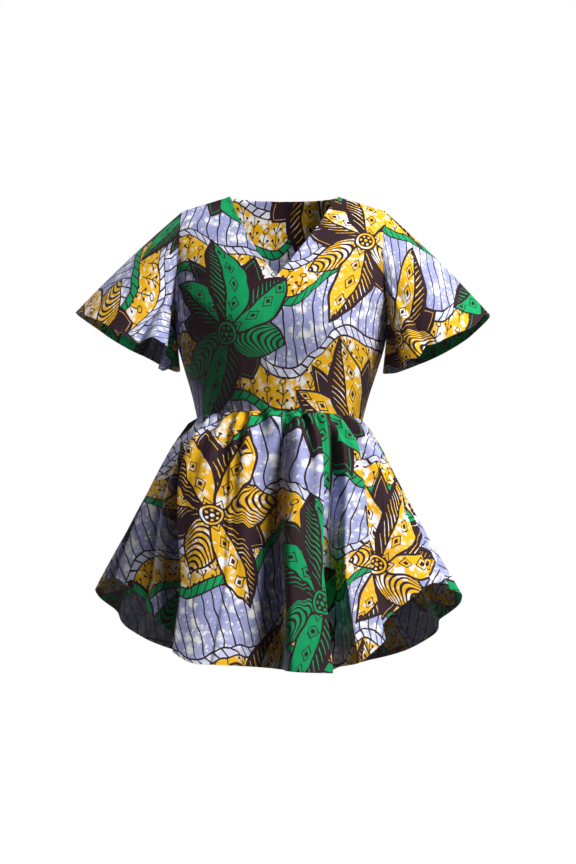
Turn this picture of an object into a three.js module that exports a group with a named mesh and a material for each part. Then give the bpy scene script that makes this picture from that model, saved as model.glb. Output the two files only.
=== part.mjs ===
// A woman's peplum blouse in printed cotton, worn form with no wearer: V-neck front, plain back,
// two flutter sleeves and a long peplum gathered onto the waist, with a shirt-tail hem.
// Millimetres, +Z up, the front faces -Y. The origin lies midway between the two neck points,
// where the shoulder seams meet the neckline.
import * as THREE from "three";

// ---- cloth and seams
const CLOTH = 1.5; // wall of the cloth
const SEAM_GAP = 0.3; // between two pieces at a seam
const PRINT = 0x878376; // the print's colours taken together

// ---- bodice
const NECK_HALF = 103.5; // neck point from the middle
const NECK_BOW = 9; // how far each side of the V bows outward
const V_DEPTH = 180; // bottom of the V below the neck points
const V_ROW = 6; // row of the front table that holds the bottom of the V
const BACK_NECK = { depth: 75, rise: 7 }; // centre back of the neckline, behind and above the neck points
const BUST = { across: 84, below: 262, radius: 72, fullness: 12 };
const ROWS_PER_STEP = 2; // rows of the mesh for each step of a table
const HALF_COLUMNS = 9;

// The front, from the waist up to the shoulder seam. Each row runs from its edge, which is the side
// seam and then the armhole, to its inner end, which is the centre line and then the neckline.
// round is 1 where the row bows like a quarter of an ellipse and 0 where it is straight.
const FRONT_ROWS = [
  { edgeX: 157, edgeY: 8, edgeZ: -432, innerY: -118, innerZ: -428, round: 1.0 },
  { edgeX: 168, edgeY: 8, edgeZ: -387, innerY: -126, innerZ: -384, round: 1.0 },
  { edgeX: 183, edgeY: 6, edgeZ: -339, innerY: -133, innerZ: -337, round: 1.0 },
  { edgeX: 197, edgeY: 4, edgeZ: -291, innerY: -138, innerZ: -291, round: 1.0 },
  { edgeX: 204, edgeY: 2, edgeZ: -244, innerY: -138, innerZ: -250, round: 1.0 },
  { edgeX: 202, edgeY: -36, edgeZ: -214, innerY: -133, innerZ: -214, round: 0.85 },
  { edgeX: 197, edgeY: -55, edgeZ: -177, innerY: -124, innerZ: -180, round: 0.7 },
  { edgeX: 194, edgeY: -57, edgeZ: -137, innerY: -104, innerZ: -135, round: 0.6 },
  { edgeX: 193, edgeY: -46, edgeZ: -97, innerY: -77, innerZ: -90, round: 0.5 },
  { edgeX: 195, edgeY: -25, edgeZ: -58, innerY: -42, innerZ: -45, round: 0.35 },
  { edgeX: 196, edgeY: 4, edgeZ: -29, innerY: 4, innerZ: 0, round: 0 },
];

// The back, likewise. From yoke upwards the rows turn into the shoulder seam and neckline.
const BACK_ROWS = [
  { edgeX: 157, edgeY: 8, edgeZ: -432, innerY: 102, innerZ: -430, round: 1.0, yoke: 0 },
  { edgeX: 168, edgeY: 8, edgeZ: -387, innerY: 104, innerZ: -386, round: 1.0, yoke: 0 },
  { edgeX: 183, edgeY: 6, edgeZ: -339, innerY: 109, innerZ: -338, round: 1.0, yoke: 0 },
  { edgeX: 197, edgeY: 4, edgeZ: -291, innerY: 115, innerZ: -290, round: 1.0, yoke: 0 },
  { edgeX: 204, edgeY: 2, edgeZ: -244, innerY: 119, innerZ: -242, round: 1.0, yoke: 0 },
  { edgeX: 201, edgeY: 38, edgeZ: -214, innerY: 120, innerZ: -203, round: 0.85, yoke: 0 },
  { edgeX: 195, edgeY: 58, edgeZ: -177, innerY: 119, innerZ: -162, round: 0.7, yoke: 0.02 },
  { edgeX: 191, edgeY: 61, edgeZ: -137, innerY: 115, innerZ: -120, round: 0.6, yoke: 0.08 },
  { edgeX: 191, edgeY: 50, edgeZ: -97, innerY: 107, innerZ: -77, round: 0.5, yoke: 0.25 },
  { edgeX: 194, edgeY: 29, edgeZ: -58, innerY: 93, innerZ: -35, round: 0.4, yoke: 0.6 },
  { edgeX: 196, edgeY: 4, edgeZ: -29, innerY: 75, innerZ: 7, round: 0, yoke: 1 },
];
const SHOULDER_Y = FRONT_ROWS.at(-1).edgeY; // the shoulder seam runs straight across at this depth
const UNDERARM_ROW = 4; // row of both tables where the side seam ends and the armhole begins
const SHOULDER_SHARE = 0.48; // share of the back's top row that is shoulder seam; the rest is neckline

// ---- sleeve
const SLEEVE = {
  tipX: 397, tipZ: -230, // outer end of the hem
  lowZ: -339, // underarm end of the hem
  halfDepth: 92, // hem, from the middle to its front or back
  puff: 5, // bow of the cloth between armhole and hem
  rows: 9,
};
// Flutes of a sleeve's hem. at is the angle round the hem, 0 at the underarm and 180 at the tip,
// the front being 0 to 180. flat is the half width of a flute's top and before and after are the
// widths of its flanks, all in degrees; depth is how far it stands out and sink how far it hangs, in mm.
const RIGHT_FLUTES = [
  { at: 10, flat: 4, before: 20, after: 12, depth: 5, sink: 0 },
  { at: 40, flat: 7, before: 10, after: 15, depth: 31, sink: -31 },
  { at: 98, flat: 4, before: 26, after: 30, depth: 9, sink: 0 },
  { at: 146, flat: 0, before: 24, after: 24, depth: -5, sink: 0 },
  { at: 212, flat: 0, before: 24, after: 24, depth: -5, sink: 0 },
  { at: 258, flat: 4, before: 28, after: 22, depth: 9, sink: 2 },
  { at: 304, flat: 4, before: 9, after: 42, depth: 11, sink: 7 },
];
const LEFT_FLUTES = [
  { at: 38, flat: 11, before: 28, after: 7, depth: 12, sink: 21 },
  { at: 65, flat: 7, before: 10, after: 15, depth: 30, sink: 4 },
  { at: 106, flat: 8, before: 30, after: 40, depth: 6, sink: 15 },
  { at: 150, flat: 0, before: 24, after: 24, depth: -5, sink: 0 },
  { at: 212, flat: 0, before: 24, after: 24, depth: -5, sink: 0 },
  { at: 256, flat: 4, before: 28, after: 22, depth: 8, sink: 0 },
  { at: 304, flat: 4, before: 18, after: 20, depth: 8, sink: -3 },
];
// lowX is where the underarm end of the hem hangs and droop how far the back of the hem hangs out
// beyond its front.
const RIGHT_SLEEVE = { half: -1, lowX: 196, droop: 4, flutes: RIGHT_FLUTES };
const LEFT_SLEEVE = { half: 1, lowX: 199, droop: 10, flutes: LEFT_FLUTES };

// ---- peplum
const PEPLUM = {
  halfWidth: 157, widthSlope: 0.585, // half width at the waist, and its gain for each mm of drop
  front: 118, frontSlope: 0.2,
  back: 102, backSlope: 0.27,
  pinch: 0.42, formDrop: 330, // how far the sides draw in to a point, and the drop where they have
  puff: 14, puffDrop: 60, puffEnd: 340, // how far the gathers stand out under the seam
  sway: 6, // how far the skirt swings to the right half way down
  seamTurn: 9, // degrees that the side seam swings forward on its way down
  seamDip: 9, // how far the side seam sinks into its fold at the hem
  columns: 108,
  rows: 10,
};
const HEM_DROP = { seam: 307, front: 475, back: 462 }; // waist to hem, measured straight down
const HEM_SLANT = 11; // how much shorter the front is on the right of its middle
// Small gathers of one panel under the seam: drift moves them along and unevenness varies their depth.
const GATHERS = { waves: 14, depth: 5.6, rise: 10, fade: 80, drift: 1.3, unevenness: 0.35 };
// Hanging folds. top and hem are the place along the panel under the waist and at the hem, in
// percent; flat is the half width of the crest's top, before and after the widths of its flanks,
// depth how far it stands out and lean how far it swings onward along the panel, all in mm at the hem.
const FRONT_FOLDS = [
  { top: 8, hem: 9, flat: 8, before: 24, after: 50, depth: 22, lean: -8 },
  { top: 15, hem: 19, flat: 5, before: 22, after: 28, depth: 15, lean: -4 },
  { top: 19, hem: 30, flat: 14, before: 18, after: 116, depth: 50, lean: -12 },
  { top: 38, hem: 40, flat: 16, before: 20, after: 58, depth: 16, lean: -5 },
  { top: 63, hem: 62, flat: 38, before: 26, after: 20, depth: 68, lean: 12 },
  { top: 79, hem: 77, flat: 12, before: 20, after: 18, depth: 56, lean: 10 },
  { top: 91, hem: 90, flat: 12, before: 58, after: 24, depth: 26, lean: 8 },
];
const BACK_FOLDS = [
  { top: 8, hem: 9, flat: 8, before: 24, after: 50, depth: 22, lean: -8 },
  { top: 23, hem: 22, flat: 16, before: 40, after: 56, depth: 36, lean: -6 },
  { top: 37, hem: 37, flat: 22, before: 44, after: 22, depth: 50, lean: 6 },
  { top: 49, hem: 50, flat: 8, before: 22, after: 34, depth: 28, lean: 0 },
  { top: 62, hem: 64, flat: 26, before: 26, after: 46, depth: 54, lean: -6 },
  { top: 77, hem: 79, flat: 12, before: 50, after: 42, depth: 36, lean: 6 },
  { top: 92, hem: 91, flat: 6, before: 40, after: 22, depth: 20, lean: 6 },
];
const SEAM_FOLD = { flat: 0, before: 0.16, after: 0.16 }; // the side seam's fold, in shares of half a panel
const WAIST_WIDTH = 0.5; // share of its width at the hem that a fold has at the waist
const WAIST_DEPTH = 0.1; // and of its depth

const { clamp, degToRad, lerp, smoothstep } = THREE.MathUtils;

// A column of a table at a place between its rows, along a Catmull-Rom spline. The spline of an edge
// starts afresh at the underarm, where the side seam turns into the armhole.
function column(table, name, place) {
  const last = table.length - 1;
  const step = clamp(Math.floor(place), 0, last - 1);
  const isEdge = name.startsWith("edge");
  const low = isEdge && step >= UNDERARM_ROW ? UNDERARM_ROW : 0;
  const high = isEdge && step < UNDERARM_ROW ? UNDERARM_ROW : last;
  const f = place - step;
  const value = (row) => table[clamp(row, low, high)][name];
  const [a, b, c, d] = [value(step - 1), value(step), value(step + 1), value(step + 2)];
  return b + 0.5 * f * (c - a + f * (2 * a - 5 * b + 4 * c - d + f * (3 * (b - c) + d - a)));
}

// A round-topped crest: 1 across its flat top, then down to 0 over one flank before and one after.
function crest(away, { flat, before, after }) {
  const flank = Math.max(Math.abs(away) - flat, 0) / (away < 0 ? before : after);
  return (0.5 + 0.5 * Math.cos(Math.PI * Math.min(flank, 1))) ** 0.65;
}

// ---- surfaces: points, faces as quads that face out, and the offset directions that are fixed
class Surface {
  constructor() {
    this.points = [];
    this.quads = [];
    this.fixed = new Map();
  }
  add(point, direction) {
    this.points.push(point);
    if (direction) this.fixed.set(this.points.length - 1, direction.clone().normalize());
    return this.points.length - 1;
  }
  normals() {
    const sum = this.points.map(() => new THREE.Vector3());
    for (const [a, b, c, d] of this.quads) {
      const across = this.points[c].clone().sub(this.points[a]);
      const face = across.cross(this.points[d].clone().sub(this.points[b]));
      for (const corner of [a, b, c, d]) sum[corner].add(face);
    }
    return sum.map((n, i) => this.fixed.get(i) ?? n.normalize());
  }
}

// The cloth of a surface: its points outside, the same points moved in by the cloth's thickness,
// and a rim along every open edge.
function clothWall(surface) {
  const normals = surface.normals();
  const count = surface.points.length;
  const inner = surface.points.map((p, i) => p.clone().addScaledVector(normals[i], -CLOTH));
  const positions = [...surface.points, ...inner].flatMap((p) => p.toArray());
  const index = [];
  const addQuad = (a, b, c, d) => index.push(a, b, c, a, c, d);
  const open = new Map();
  for (const quad of surface.quads) {
    const [a, b, c, d] = quad;
    addQuad(a, b, c, d);
    addQuad(d + count, c + count, b + count, a + count);
    quad.forEach((from, k) => {
      const to = quad[(k + 1) % 4];
      if (!open.delete(`${to},${from}`)) open.set(`${from},${to}`, [from, to]);
    });
  }
  for (const [from, to] of open.values()) addQuad(to, from, from + count, to + count);
  const geometry = new THREE.BufferGeometry();
  geometry.setAttribute("position", new THREE.Float32BufferAttribute(positions, 3));
  geometry.setIndex(index);
  geometry.computeVertexNormals();
  return geometry;
}

// ---- bodice
// The outer edge of a row: side seam, then armhole. share runs 0 at the edge to 1 at the inner end.
function bodiceRow(table, place) {
  const row = {};
  for (const name of Object.keys(table[0])) row[name] = column(table, name, place);
  return row;
}

function bustFullness(x, z) {
  const dz = (z + BUST.below) / BUST.radius;
  const dx = (Math.abs(x) - BUST.across) / BUST.radius;
  return BUST.fullness * Math.exp(-(dx * dx + dz * dz));
}

// Point of a row of the bodice's right half, whose inner end is at innerX.
function rowPoint(row, innerX, share) {
  const angle = share * 0.5 * Math.PI;
  const bowX = innerX + (row.edgeX - innerX) * Math.cos(angle);
  const bowY = lerp(row.edgeY, row.innerY, Math.sin(angle));
  const x = lerp(lerp(row.edgeX, innerX, share), bowX, row.round);
  const y = lerp(lerp(row.edgeY, row.innerY, share), bowY, row.round);
  return new THREE.Vector3(x, y, lerp(row.edgeZ, row.innerZ, share));
}

function frontPoint(place, share) {
  const row = bodiceRow(FRONT_ROWS, place);
  const up = clamp((place - V_ROW) / (FRONT_ROWS.length - 1 - V_ROW), 0, 1);
  const neckX = NECK_HALF * up + NECK_BOW * Math.sin(Math.PI * up);
  if (place >= V_ROW) row.innerZ = -V_DEPTH * (1 - up);
  const point = rowPoint(row, neckX, share);
  point.y -= bustFullness(point.x, point.z);
  return point;
}

// The back's top row: shoulder seam out to in, then the neckline to the centre back.
function backTop(share) {
  const top = BACK_ROWS[BACK_ROWS.length - 1];
  if (share <= SHOULDER_SHARE) {
    const f = share / SHOULDER_SHARE;
    return new THREE.Vector3(lerp(top.edgeX, NECK_HALF, f), top.edgeY, lerp(top.edgeZ, 0, f));
  }
  const angle = ((share - SHOULDER_SHARE) / (1 - SHOULDER_SHARE)) * 0.5 * Math.PI;
  const y = lerp(top.edgeY, BACK_NECK.depth, Math.sin(angle));
  return new THREE.Vector3(NECK_HALF * Math.cos(angle), y, BACK_NECK.rise * Math.sin(angle));
}

function backPoint(place, share) {
  const row = bodiceRow(BACK_ROWS, place);
  const plain = rowPoint(row, 0, share);
  return plain.lerp(backTop(share), clamp(row.yoke, 0, 1));
}

// Both halves of a bodice panel. side is -1 for the front and 1 for the back, splitRow is the mesh
// row above which the two halves part.
function bodiceSurface(pointAt, side, splitRow) {
  const surface = new Surface();
  const rows = (FRONT_ROWS.length - 1) * ROWS_PER_STEP;
  const underarm = UNDERARM_ROW * ROWS_PER_STEP;
  const ids = { "-1": [], 1: [] };
  for (const half of [-1, 1]) {
    for (let j = 0; j <= rows; j++) {
      ids[half][j] = [];
      for (let i = 0; i <= HALF_COLUMNS; i++) {
        if (half === 1 && i === HALF_COLUMNS && j <= splitRow) {
          ids[half][j][i] = ids[-1][j][i];
          continue;
        }
        const point = pointAt(j / ROWS_PER_STEP, i / HALF_COLUMNS);
        let direction = null;
        if (j === 0) direction = new THREE.Vector3(half * point.x * 0.5, point.y, 0);
        if (i === 0 && j <= underarm) direction = new THREE.Vector3(half, 0, 0);
        if (j === rows && Math.abs(point.y - SHOULDER_Y) < 0.01) {
          direction = new THREE.Vector3(half * 0.3, 0, 1);
        }
        const onSeam = (i === 0 && j <= underarm) || (direction && j === rows);
        if (onSeam) point.y += side * 0.5 * SEAM_GAP;
        point.x *= half;
        ids[half][j][i] = surface.add(point, direction);
      }
    }
    for (let j = 0; j < rows; j++) {
      for (let i = 0; i < HALF_COLUMNS; i++) {
        const row = ids[half];
        const quad = [row[j][i], row[j][i + 1], row[j + 1][i + 1], row[j + 1][i]];
        surface.quads.push(half * side > 0 ? quad : quad.reverse());
      }
    }
  }
  surface.armhole = { "-1": [], 1: [] };
  for (const half of [-1, 1]) {
    for (let j = underarm; j <= rows; j++) surface.armhole[half].push(ids[half][j][0]);
  }
  return surface;
}

// ---- sleeve
// How far the flutes move the hem from its oval, by the named column, at an angle in degrees round it.
function fluted(flutes, angle, column) {
  let moved = 0;
  for (const f of flutes) {
    const away = ((angle - f.at + 540) % 360) - 180;
    moved += f[column] * crest(away, f);
  }
  return moved;
}

// The loop of the armhole on one side, from the underarm up the front and down the back.
function armholeLoop(front, back, half) {
  const frontIds = front.armhole[half];
  const backIds = back.armhole[half];
  const points = frontIds.map((id) => front.points[id].clone());
  for (let k = backIds.length - 2; k > 0; k--) points.push(back.points[backIds[k]].clone());
  const middle = (a, b) => a.clone().add(b).multiplyScalar(0.5);
  const top = frontIds.length - 1;
  points[0] = middle(front.points[frontIds[0]], back.points[backIds[0]]);
  points[top] = middle(front.points[frontIds[top]], back.points[backIds[top]]);
  return points;
}

function sleeveSurface(front, back, sleeve) {
  const { half, lowX, droop, flutes } = sleeve;
  const surface = new Surface();
  const loop = armholeLoop(front, back, half);
  const count = loop.length;
  const low = new THREE.Vector3(half * lowX, 0, SLEEVE.lowZ);
  const tip = new THREE.Vector3(half * SLEEVE.tipX, 0, SLEEVE.tipZ);
  const centre = low.clone().lerp(tip, 0.5);
  const along = tip.clone().sub(low).normalize();
  const reach = low.distanceTo(tip) / 2;
  const beyond = new THREE.Vector3(along.z * half, 0, -along.x * half);
  for (let j = 0; j <= SLEEVE.rows; j++) {
    const down = j / SLEEVE.rows;
    for (let k = 0; k < count; k++) {
      const degrees = (k / count) * 360;
      const angle = degToRad(degrees);
      const spread = new THREE.Vector3(0, -SLEEVE.halfDepth * Math.sin(angle), 0);
      spread.addScaledVector(along, -reach * Math.cos(angle));
      const outward = new THREE.Vector3(0, -reach * Math.sin(angle), 0);
      outward.addScaledVector(along, -SLEEVE.halfDepth * Math.cos(angle)).normalize();
      const out = fluted(flutes, degrees, "depth");
      const hem = centre.clone().add(spread).addScaledVector(outward, out);
      hem.addScaledVector(beyond, -droop * Math.sin(angle));
      hem.z -= fluted(flutes, degrees, "sink");
      const cap = loop[k].clone();
      cap.x += half * SEAM_GAP * 1.5;
      const point = cap.lerp(hem, down);
      const flare = out * (down ** 1.35 - down);
      const bow = SLEEVE.puff * Math.sin(Math.PI * down) * (0.5 - 0.5 * Math.cos(angle));
      point.addScaledVector(outward, flare + bow);
      surface.add(point);
    }
  }
  for (let j = 0; j < SLEEVE.rows; j++) {
    for (let k = 0; k < count; k++) {
      const next = (k + 1) % count;
      const quad = [j * count + k, j * count + next, (j + 1) * count + next, (j + 1) * count + k];
      surface.quads.push(half > 0 ? quad.reverse() : quad);
    }
  }
  return surface;
}

// Where two pieces meet at a ridge they share one offset direction, so that their walls end on one
// plane. In the crease under the arm each keeps its own.
function shareDirections(pieceA, idsA, pieceB, idsB) {
  const normalsA = pieceA.normals();
  const normalsB = pieceB.normals();
  idsA.forEach((idA, k) => {
    const a = normalsA[idA];
    const b = normalsB[idsB[k]];
    const shared = a.clone().add(b).normalize();
    const weight = smoothstep(a.dot(b), -0.3, 0.3);
    pieceA.fixed.set(idA, a.clone().lerp(shared, weight).normalize());
    pieceB.fixed.set(idsB[k], b.clone().lerp(shared, weight).normalize());
  });
}

function joinSleeve(sleeve, front, back, half) {
  const frontIds = front.armhole[half];
  const backIds = back.armhole[half];
  const top = frontIds.length - 1;
  const count = 2 * top;
  const sleeveFront = frontIds.map((_, k) => k);
  shareDirections(front, frontIds, sleeve, sleeveFront);
  const backInner = backIds.slice(1, top);
  shareDirections(back, backInner, sleeve, backInner.map((_, k) => count - 1 - k));
  back.fixed.set(backIds[top], front.fixed.get(frontIds[top]));
  back.fixed.set(backIds[0], front.fixed.get(frontIds[0]));
}

// ---- peplum
// The plain ring of the peplum, drop mm under the waist, without its folds.
function plainRing(isFront, drop) {
  const swell = 1 - Math.exp(-drop / PEPLUM.puffDrop);
  const puff = PEPLUM.puff * swell * Math.max(0, 1 - drop / PEPLUM.puffEnd);
  const grown = smoothstep(drop, 0, PEPLUM.formDrop);
  const middle = FRONT_ROWS[0].edgeY * (1 - grown);
  const half = PEPLUM.halfWidth + PEPLUM.widthSlope * drop + puff;
  const plainDepth = isFront ? PEPLUM.front + PEPLUM.frontSlope * drop : PEPLUM.back + PEPLUM.backSlope * drop;
  const depth = plainDepth + puff + (isFront ? middle : -middle);
  const pinch = PEPLUM.pinch * grown;
  const sideDepth = depth * (1 - pinch);
  const evenness = (0.5 * (half - sideDepth)) / (half + sideDepth);
  return { half, depth, pinch, middle, evenness, length: 0.5 * Math.PI * (half + sideDepth) };
}

// Angle round a ring for an even step along it: 0 at the side seam at +X, 90 at the centre front
// and -90 at the centre back.
function ringAngle(step, drop) {
  return step + plainRing(Math.sin(step) >= 0, drop).evenness * Math.sin(2 * step);
}

function ringPoint(step, drop) {
  const ring = plainRing(Math.sin(step) >= 0, drop);
  const angle = ringAngle(step, drop);
  const pinched = 1 - ring.pinch * Math.cos(angle) ** 2;
  const sway = PEPLUM.sway * Math.sin(Math.PI * Math.min(1, drop / PEPLUM.puffEnd));
  const y = ring.middle - ring.depth * Math.sin(angle) * pinched;
  return new THREE.Vector2(ring.half * Math.cos(angle) - sway, y);
}

// The front panel runs from the right side seam over the centre front to the left side seam, and
// the back panel from there over the centre back to the right side seam.
function panelStep(panel, share, drop) {
  const turn = degToRad(PEPLUM.seamTurn) * Math.min(1, drop / HEM_DROP.seam);
  return panel.facing < 0 ? lerp(Math.PI - turn, turn, share) : lerp(turn, -Math.PI - turn, share);
}

function hemDrop(panel, share) {
  const fromSeam = 1 - Math.abs(2 * share - 1);
  const rise = smoothstep(fromSeam, panel.hemStart, panel.hemEnd);
  const shorter = panel.slant * smoothstep(0.62 - share, 0, 0.3) * smoothstep(share, 0.1, 0.3);
  return lerp(HEM_DROP.seam, panel.hem, rise) - shorter;
}

function peplumPoint(panel, share, down) {
  const drop = hemDrop(panel, share) * down;
  const step = panelStep(panel, share, drop);
  const base = ringPoint(step, drop);
  const along = ringPoint(step - 0.01, drop).sub(ringPoint(step + 0.01, drop)).normalize();
  const out = new THREE.Vector2(along.y, -along.x);
  const grown = Math.min(1, drop / HEM_DROP.front);
  const fromSeam = 1 - Math.abs(2 * share - 1);
  const { length } = plainRing(panel.facing < 0, drop);
  const inPanel = smoothstep(fromSeam, 0, 0.12);
  let stand = -PEPLUM.seamDip * Math.min(1, drop / HEM_DROP.seam) * crest(fromSeam, SEAM_FOLD);
  stand -= panel.settle * grown * inPanel;
  let slide = 0;
  const width = lerp(WAIST_WIDTH, 1, grown);
  const risen = lerp(WAIST_DEPTH, 1, grown ** 0.8) * smoothstep(drop, 0, 60) * inPanel;
  for (const fold of panel.folds) {
    const away = ((share - lerp(fold.top, fold.hem, grown ** 0.6) / 100) * length) / width;
    const height = crest(away, fold) * risen;
    stand += fold.depth * height;
    slide += fold.lean * height;
  }
  const turn = 2 * Math.PI * share;
  const wave = Math.cos(GATHERS.waves * turn + GATHERS.drift * Math.sin(3 * turn));
  const swell = Math.min(1, drop / GATHERS.rise) * Math.exp(-drop / GATHERS.fade);
  const uneven = 1 + GATHERS.unevenness * Math.sin(5 * turn + 1);
  stand += GATHERS.depth * wave * uneven * swell * smoothstep(fromSeam, 0, 0.04);
  base.addScaledVector(out, stand).addScaledVector(along, slide);
  return new THREE.Vector3(base.x, base.y, waistHeight(ringAngle(step, drop)) - drop);
}

// The waist seam sits a little higher in front than at the sides.
function waistHeight(angle) {
  const waist = Math.sin(angle) >= 0 ? FRONT_ROWS[0] : BACK_ROWS[0];
  const share = 1 - Math.abs(Math.abs(angle) / (0.5 * Math.PI) - 1);
  return lerp(waist.edgeZ, waist.innerZ, share);
}

function peplumSurface(panel) {
  const surface = new Surface();
  const { columns, rows } = PEPLUM;
  for (let j = 0; j <= rows; j++) {
    const down = (j / rows) ** 1.35;
    for (let i = 0; i <= columns; i++) {
      const point = peplumPoint(panel, i / columns, down);
      let direction = null;
      const sideSeam = i === 0 || i === columns;
      if (sideSeam) {
        direction = new THREE.Vector3(point.x, 0, 0);
        point.y += panel.facing * 0.5 * SEAM_GAP;
      } else if (j === 0) {
        direction = new THREE.Vector3(point.x * 0.5, point.y, 0);
      }
      point.z -= SEAM_GAP;
      surface.add(point, direction);
    }
  }
  const width = columns + 1;
  for (let j = 0; j < rows; j++) {
    for (let i = 0; i < columns; i++) {
      const corner = j * width + i;
      surface.quads.push([corner, corner + width, corner + width + 1, corner + 1]);
    }
  }
  return surface;
}

// ---- one named mesh for each cut piece
function piece(name, surface) {
  const material = new THREE.MeshStandardMaterial({ color: PRINT, roughness: 0.8, metalness: 0 });
  const mesh = new THREE.Mesh(clothWall(surface), material);
  mesh.name = name;
  return mesh;
}

const FRONT_PANEL = {
  facing: -1, folds: FRONT_FOLDS, hem: HEM_DROP.front, hemStart: 0.12, hemEnd: 0.68,
  slant: HEM_SLANT, settle: 26,
};
const BACK_PANEL = {
  facing: 1, folds: BACK_FOLDS, hem: HEM_DROP.back, hemStart: 0, hemEnd: 0.69, slant: 0, settle: 20,
};

const splitRow = V_ROW * ROWS_PER_STEP;
const front = bodiceSurface(frontPoint, -1, splitRow);
const back = bodiceSurface(backPoint, 1, Infinity);
const sleeveRight = sleeveSurface(front, back, RIGHT_SLEEVE);
const sleeveLeft = sleeveSurface(front, back, LEFT_SLEEVE);
joinSleeve(sleeveRight, front, back, -1);
joinSleeve(sleeveLeft, front, back, 1);

const blouse = new THREE.Group();
blouse.name = "peplum_blouse";
blouse.add(
  piece("bodice_front", front),
  piece("bodice_back", back),
  piece("sleeve_right", sleeveRight),
  piece("sleeve_left", sleeveLeft),
  piece("peplum_front", peplumSurface(FRONT_PANEL)),
  piece("peplum_back", peplumSurface(BACK_PANEL)),
);

export default blouse;
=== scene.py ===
import math

import bpy
import numpy as np
from mathutils import Matrix, Vector


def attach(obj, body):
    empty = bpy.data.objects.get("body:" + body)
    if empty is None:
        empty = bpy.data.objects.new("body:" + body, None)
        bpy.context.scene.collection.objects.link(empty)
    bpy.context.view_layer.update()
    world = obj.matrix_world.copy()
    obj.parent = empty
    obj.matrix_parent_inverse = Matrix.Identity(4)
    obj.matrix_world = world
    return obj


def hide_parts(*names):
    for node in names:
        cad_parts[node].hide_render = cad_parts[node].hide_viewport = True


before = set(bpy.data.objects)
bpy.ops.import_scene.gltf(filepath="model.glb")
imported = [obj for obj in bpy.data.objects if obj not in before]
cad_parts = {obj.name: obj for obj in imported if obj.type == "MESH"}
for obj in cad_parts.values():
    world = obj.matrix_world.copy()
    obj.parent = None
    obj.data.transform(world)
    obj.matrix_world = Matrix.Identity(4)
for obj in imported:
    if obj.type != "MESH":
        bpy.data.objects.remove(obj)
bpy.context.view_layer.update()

# ==== The studio ====
# A pale floor far below the blouse, a big soft lamp from the right, the front and above, weaker ones
# from the front, from behind on the left and off the floor, and a camera at the height of the hem
# that looks slightly up at the waist.
CAMERA_AZIMUTH = math.radians(4.5)
CAMERA_ELEVATION = math.radians(-6.0)
CAMERA_ROLL = math.radians(1.0)
CAMERA_DISTANCE = 3.6
CAMERA_TARGET = Vector((0.0168, 0.0, -0.456))
METRES_PER_PIXEL = 0.0019
PICTURE_HEIGHT = 864
SENSOR_WIDTH = 36.0
FLOOR_LEVEL = -1.34
FLOOR_HALF = 30.0
FLOOR_WHITE = 0.95
WORLD_GLOW = 0.005

camera_data = bpy.data.cameras.new("camera")
camera_data.sensor_width = SENSOR_WIDTH
camera_data.lens = SENSOR_WIDTH * CAMERA_DISTANCE / (METRES_PER_PIXEL * PICTURE_HEIGHT)
camera = bpy.data.objects.new("camera", camera_data)
bpy.context.collection.objects.link(camera)
away = Vector((
    math.sin(CAMERA_AZIMUTH) * math.cos(CAMERA_ELEVATION),
    -math.cos(CAMERA_AZIMUTH) * math.cos(CAMERA_ELEVATION),
    math.sin(CAMERA_ELEVATION),
))
level = Vector((math.cos(CAMERA_AZIMUTH), math.sin(CAMERA_AZIMUTH), 0.0))
upright = away.cross(level)
right = level * math.cos(CAMERA_ROLL) + upright * math.sin(CAMERA_ROLL)
up = upright * math.cos(CAMERA_ROLL) - level * math.sin(CAMERA_ROLL)
turned = Matrix((right, up, away)).transposed().to_4x4()
camera.matrix_world = Matrix.Translation(CAMERA_TARGET + away * CAMERA_DISTANCE) @ turned
bpy.context.scene.camera = camera

bpy.context.scene.view_settings.view_transform = "Standard"


def soft_light(name, place, aim, size, power):
    """A square lamp at place that points at aim."""
    data = bpy.data.lights.new(name, "AREA")
    data.size = size
    data.energy = power
    lamp = bpy.data.objects.new(name, data)
    bpy.context.collection.objects.link(lamp)
    lamp.visible_camera = False
    lamp.location = place
    lamp.rotation_euler = (Vector(aim) - Vector(place)).to_track_quat("-Z", "Y").to_euler()


soft_light("key", place=(2.7, -1.9, 2.6), aim=(0.0, 0.0, -0.4), size=1.8, power=350.0)
soft_light("fill", place=(0.9, -3.8, 0.9), aim=(0.0, 0.0, -0.5), size=1.6, power=1.0)
soft_light("back", place=(-2.9, 1.2, 1.5), aim=(0.0, 0.0, -0.5), size=1.2, power=38.0)
soft_light("floor_glow", place=(0.7, -0.9, -1.32), aim=(0.0, 0.0, 0.0), size=1.0, power=0.4)

# The world is white where the camera sees it and nearly black as a light.
world = bpy.data.worlds.new("studio")
world.use_nodes = True
bpy.context.scene.world = world
sky = world.node_tree.nodes["Background"]
sky.inputs["Color"].default_value = (1.0, 1.0, 1.0, 1.0)
seen = world.node_tree.nodes.new("ShaderNodeLightPath")
strength = world.node_tree.nodes.new("ShaderNodeMapRange")
strength.inputs["To Min"].default_value = WORLD_GLOW
strength.inputs["To Max"].default_value = 1.0
world.node_tree.links.new(seen.outputs["Is Camera Ray"], strength.inputs["Value"])
world.node_tree.links.new(strength.outputs["Result"], sky.inputs["Strength"])

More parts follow.
